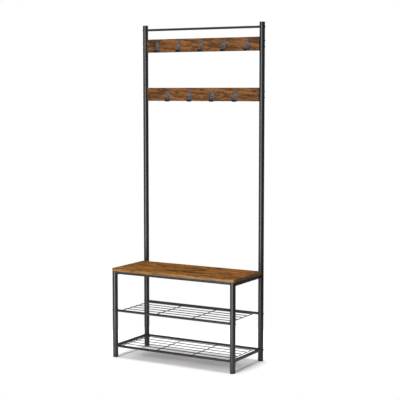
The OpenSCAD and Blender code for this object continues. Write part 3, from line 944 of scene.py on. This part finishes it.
def foot_pad(pad, body):
    """The moulded pad of a levelling foot, with a rounded rim and grip notches round it."""
    low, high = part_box(pad)
    middle = (low + high) / 2
    radius = (high.x - low.x) / 2
    tall = high.z - low.z
    levels = [(radius - 2.2 * MM, 0.3 * MM), (radius - 1.4 * MM, 0.0), (radius - 0.5 * MM, 0.0),
              (radius, 0.5 * MM), (radius, tall - PAD_EASE)]
    for a in (30, 60, 90):
        t = math.radians(a)
        levels.append((radius - PAD_EASE + PAD_EASE * math.cos(t), tall - PAD_EASE + PAD_EASE * math.sin(t)))
    levels += [(6.6 * MM, tall - 0.15 * MM), (6.2 * MM, tall), (4.15 * MM, tall),
               (4.05 * MM, tall - 0.5 * MM), (4.05 * MM, 1.5 * MM)]
    rings = []
    for r, z in levels:
        on_rim = r > radius - 0.9 * MM and 0.4 * MM < z < tall - 0.2 * MM
        ring = []
        for i in range(PAD_SIDES):
            t = 2 * math.pi * i / PAD_SIDES
            reach = r - (NOTCH_DEEP if on_rim and i % NOTCH_STEP in (0, 1) else 0)
            ring.append(Vector((middle.x + reach * math.cos(t), middle.y + reach * math.sin(t), low.z + z)))
        rings.append(ring)
    bm = bmesh.new()
    loft(bm, rings)
    piece(pad + "_moulding", bm, [FOOT_PLASTIC], [pad], body)


def foot_stud(stud, body):
    """The stud of a levelling foot, with a real helical thread that fades at its top end."""
    low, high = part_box(stud)
    middle = (low + high) / 2
    outer = (high.x - low.x) / 2
    length = high.z - low.z
    steps = int(length / (STUD_PITCH / 6))
    rings = []
    for k in range(steps + 1):
        z = length * k / steps
        taper = min(1.0, (length - z) / STUD_TAPER)
        ring = []
        for i in range(STUD_SIDES):
            t = 2 * math.pi * i / STUD_SIDES
            phase = (z / STUD_PITCH - i / STUD_SIDES) % 1.0
            crest = 1 - abs(2 * phase - 1)
            r = STUD_CORE + (outer - STUD_CORE) * min(1.0, crest * 1.25) * (0.35 + 0.65 * taper)
            ring.append(Vector((middle.x + r * math.cos(t), middle.y + r * math.sin(t), low.z + z)))
        rings.append(ring)
    bm = bmesh.new()
    loft(bm, rings)
    piece(stud + "_thread", bm, [ZINC], [stud], body)


for name in ("front_left", "front_right", "back_left", "back_right"):
    leg_plug(name + "_leg_plug")
    foot_pad(name + "_foot_pad", name + "_foot")
    foot_stud(name + "_foot_stud", name + "_foot")


# ---- carried-over CAD nodes: sleeves and inserts inside the tubes and boards ----

for name in ("left_post_coupler", "right_post_coupler", "hook_board_inserts", "shelf_rod_inserts",
             "top_rod_inserts"):
    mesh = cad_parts[name].data
    mesh.materials.clear()
    mesh.materials.append(ZINC)


# ---- floor, light and camera ----

def floor_material():
    """Matt white studio floor, with a faint cloud in its tone."""
    g = Graph("studio_floor")
    colour = g.ramp(g.noise(g.place, 0.7, 2), [(0.3, (0.90, 0.90, 0.905)), (0.7, (0.93, 0.93, 0.93))])
    return g.finish(colour, 0.85, g.bump(g.noise(g.place, 60, 3), 0.0002, 0.1), specular=0.1)


def studio_floor():
    """A small round floor under the object, white enough to fade into the backdrop."""
    bm = bmesh.new()
    rings = [ring_points((0, 0, 0), r, 64) for r in (0.3, 0.6, 0.85)]
    loft(bm, rings, caps=(True, False))
    for face in bm.faces:
        if face.normal.z < 0:
            face.normal_flip()
    mesh = bpy.data.meshes.new("studio_floor")
    bm.to_mesh(mesh)
    bm.free()
    mesh.materials.append(floor_material())
    obj = bpy.data.objects.new("studio_floor", mesh)
    bpy.context.scene.collection.objects.link(obj)


def softbox(name, place, target, width, height, watts):
    """A rectangular area light that faces a point."""
    light = bpy.data.lights.new(name, "AREA")
    light.shape = "RECTANGLE"
    light.size = width
    light.size_y = height
    light.energy = watts
    obj = bpy.data.objects.new(name, light)
    obj.location = place
    obj.rotation_euler = (Vector(target) - Vector(place)).to_track_quat("-Z", "Y").to_euler()
    bpy.context.scene.collection.objects.link(obj)


def overhead_sun(direction, strength, softness):
    """A broad overhead light, so wide that its shadows are soft; direction points at the light."""
    light = bpy.data.lights.new("overhead_light", "SUN")
    light.energy = strength
    light.angle = math.radians(softness)
    obj = bpy.data.objects.new("overhead_light", light)
    obj.location = Vector(direction) * 5
    obj.rotation_euler = Vector(direction).to_track_quat("Z", "Y").to_euler()
    bpy.context.scene.collection.objects.link(obj)


def white_world(seen, lighting):
    """A plain white studio: the backdrop is white to the camera, and lights the object more gently."""
    world = bpy.data.worlds.new("studio_world")
    world.use_nodes = True
    tree = world.node_tree
    background = tree.nodes["Background"]
    path = tree.nodes.new("ShaderNodeLightPath")
    strength = tree.nodes.new("ShaderNodeMix")
    strength.data_type = "FLOAT"
    strength.inputs[2].default_value = lighting
    strength.inputs[3].default_value = seen
    tree.links.new(path.outputs["Is Camera Ray"], strength.inputs[0])
    tree.links.new(strength.outputs[0], background.inputs["Strength"])
    background.inputs["Color"].default_value = (1, 1, 1, 1)
    bpy.context.scene.world = world


def camera(azimuth, elevation, distance, target, lens):
    """A camera on the given side of the target, where azimuth 0 looks along +Y."""
    a = math.radians(azimuth)
    e = math.radians(elevation)
    back = Vector((math.sin(a) * math.cos(e), -math.cos(a) * math.cos(e), math.sin(e)))
    data = bpy.data.cameras.new("camera")
    data.lens = lens
    data.sensor_width = 36
    data.clip_start = 0.05
    data.clip_end = 200
    obj = bpy.data.objects.new("camera", data)
    obj.location = Vector(target) + back * distance
    obj.rotation_euler = (-back).to_track_quat("-Z", "Y").to_euler()
    bpy.context.scene.collection.objects.link(obj)
    bpy.context.scene.camera = obj


studio_floor()
white_world(seen=1.0, lighting=0.16)
overhead_sun((-0.06, 0.02, 1.0), strength=3.5, softness=32)
softbox("key_softbox", (0.05, -4.6, 0.7), (0, 0, 0.7), width=1.2, height=4.1, watts=370)
softbox("left_softbox", (-3.8, -2.3, 1.4), (0, 0, 0.9), width=1.2, height=3.6, watts=11)
softbox("back_softbox", (0.8, 5.0, 1.6), (0, 0, 0.9), width=3.0, height=3.0, watts=36)
camera(azimuth=30.15, elevation=5.59, distance=5.7749, target=(0.0565, 0.0328, 0.8381), lens=100.28)
bpy.context.scene.view_settings.view_transform = "Standard"
